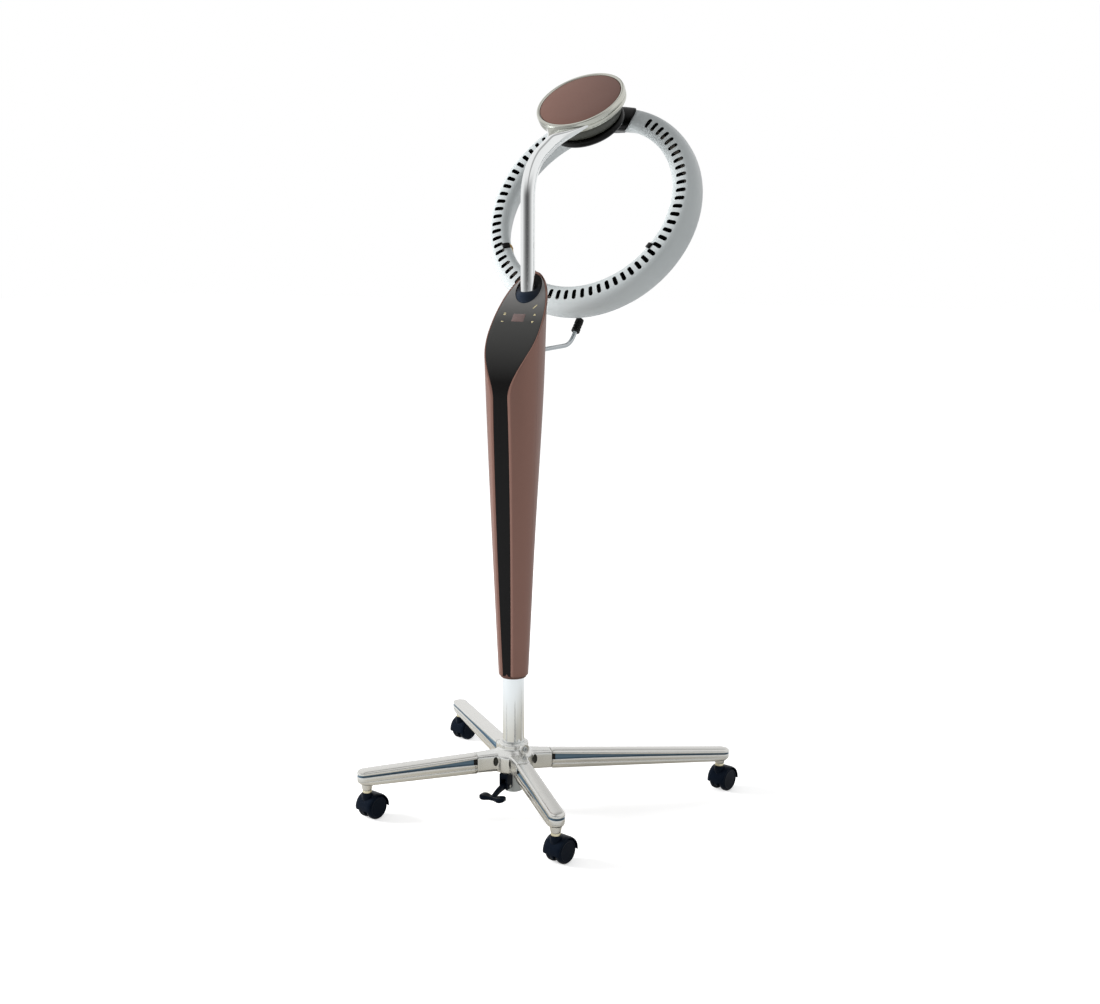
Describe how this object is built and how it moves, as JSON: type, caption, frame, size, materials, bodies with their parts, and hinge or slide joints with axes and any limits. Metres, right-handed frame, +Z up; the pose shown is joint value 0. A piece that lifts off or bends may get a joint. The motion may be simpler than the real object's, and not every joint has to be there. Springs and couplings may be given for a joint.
{
  "type": "hair color processor",
  "caption": "Standing hair color processor: a slotted ring heater turns under a tilted head on a bent chrome arm, above a tapered body that slides on a wheeled column base.",
  "frame": {"origin": "on the floor, under the middle of the bounding box", "axes": "+Z up, -Y to the front where the control panel faces, +X to the right of someone facing the rear"},
  "size_m": [0.6924, 0.6742, 1.4642],
  "materials": {
    "brown_shell": "satin brown paint with a fine metallic sheen",
    "black_panel": "gloss black touch panel",
    "chrome": "polished chrome plate",
    "polished_aluminium": "polished casting",
    "black_nylon": "moulded nylon",
    "navy_rubber": "soft moulded rubber",
    "ring_grey": "satin pale grey moulding",
    "dark_grey": "dark olive grey moulding",
    "dark_steel": "dark grey paint",
    "steel": "bright drawn steel",
    "brass": "pale plated brass",
    "quartz": "frosted quartz tube",
    "display": "tinted window, unlit",
    "board": "solder mask"
  },
  "bodies": {
    "base": {"base_hub": "polished_aluminium", "leg_front_left": "polished_aluminium", "leg_front_right": "polished_aluminium", "leg_rear_left": "polished_aluminium", "leg_rear_right": "polished_aluminium", "column_tube": "chrome", "gas_spring_cylinder": "dark_steel", "release_housing": "dark_steel", "pedal_bracket": "black_nylon", "pedal_pin": "steel", "caster_stem_front_left": "brass", "caster_stem_front_right": "brass", "caster_stem_rear_left": "brass", "caster_stem_rear_right": "brass"},
    "pedal": {"foot_pedal": "black_nylon"},
    "upper": {"front_shell": "brown_shell", "rear_shell": "brown_shell", "control_panel": "black_panel", "display_window": "display", "arm_grommet": "navy_rubber", "lower_bush": "black_nylon", "carriage_tube": "steel", "arm_socket": "steel", "gas_spring_rod": "steel", "arm_tube": "chrome", "control_board": "board", "cord_gland": "black_nylon", "cord_hook": "steel", "hook_cap": "black_nylon", "disc_cover": "brown_shell", "head_pan": "chrome", "motor_housing": "dark_grey", "gear_motor": "steel"},
    "rotor": {"rotor_disc": "black_nylon", "rotor_shaft": "steel", "ring_bracket": "black_nylon", "ring_front": "ring_grey", "ring_rear": "ring_grey", "heater_tube_1": "quartz", "heater_tube_2": "quartz", "heater_tube_3": "quartz", "heater_clip_1": "black_nylon", "heater_clip_2": "black_nylon", "heater_clip_3": "black_nylon"},
    "caster_front_left": {"caster_hood_front_left": "black_nylon"},
    "wheels_front_left": {"caster_axle_front_left": "steel", "caster_wheel_left_front_left": "black_nylon", "caster_wheel_right_front_left": "black_nylon"},
    "caster_front_right": {"caster_hood_front_right": "black_nylon"},
    "wheels_front_right": {"caster_axle_front_right": "steel", "caster_wheel_left_front_right": "black_nylon", "caster_wheel_right_front_right": "black_nylon"},
    "caster_rear_left": {"caster_hood_rear_left": "black_nylon"},
    "wheels_rear_left": {"caster_axle_rear_left": "steel", "caster_wheel_left_rear_left": "black_nylon", "caster_wheel_right_rear_left": "black_nylon"},
    "caster_rear_right": {"caster_hood_rear_right": "black_nylon"},
    "wheels_rear_right": {"caster_axle_rear_right": "steel", "caster_wheel_left_rear_right": "black_nylon", "caster_wheel_right_rear_right": "black_nylon"}
  },
  "joints": [
    {"name": "height_slide", "type": "slide", "parent": "base", "child": "upper", "axis": [0, 0, 1], "range_m": [-0.12, 0.15]},
    {"name": "ring_spin", "type": "hinge", "parent": "upper", "child": "rotor", "pos_m": [-0.00248, 0.14178, 1.4058], "axis": [0, -0.6334, 0.7738], "continuous": true},
    {"name": "pedal_press", "type": "hinge", "parent": "base", "child": "pedal", "pos_m": [-0.00248, -0.14752, 0.0548], "axis": [1, 0, 0], "range_deg": [0, 12], "stiffness_Nm_per_rad": 4, "springref_deg": -5.73},
    {"name": "swivel_front_left", "type": "hinge", "parent": "base", "child": "caster_front_left", "pos_m": [-0.21574, -0.3186, 0.05], "axis": [0, 0, 1], "continuous": true},
    {"name": "roll_front_left", "type": "hinge", "parent": "caster_front_left", "child": "wheels_front_left", "pos_m": [-0.21326, -0.30584, 0.024], "axis": [0.9816, -0.1908, 0], "continuous": true},
    {"name": "swivel_front_right", "type": "hinge", "parent": "base", "child": "caster_front_right", "pos_m": [0.21078, -0.3186, 0.05], "axis": [0, 0, 1], "continuous": true},
    {"name": "roll_front_right", "type": "hinge", "parent": "caster_front_right", "child": "wheels_front_right", "pos_m": [0.21326, -0.30584, 0.024], "axis": [0.9816, -0.1908, 0], "continuous": true},
    {"name": "swivel_rear_left", "type": "hinge", "parent": "base", "child": "caster_rear_left", "pos_m": [-0.32371, 0.1771, 0.05], "axis": [0, 0, 1], "continuous": true},
    {"name": "roll_rear_left", "type": "hinge", "parent": "caster_rear_left", "child": "wheels_rear_left", "pos_m": [-0.32123, 0.18986, 0.024], "axis": [0.9816, -0.1908, 0], "continuous": true},
    {"name": "swivel_rear_right", "type": "hinge", "parent": "base", "child": "caster_rear_right", "pos_m": [0.31875, 0.1771, 0.05], "axis": [0, 0, 1], "continuous": true},
    {"name": "roll_rear_right", "type": "hinge", "parent": "caster_rear_right", "child": "wheels_rear_right", "pos_m": [0.32123, 0.18986, 0.024], "axis": [0.9816, -0.1908, 0], "continuous": true}
  ]
}
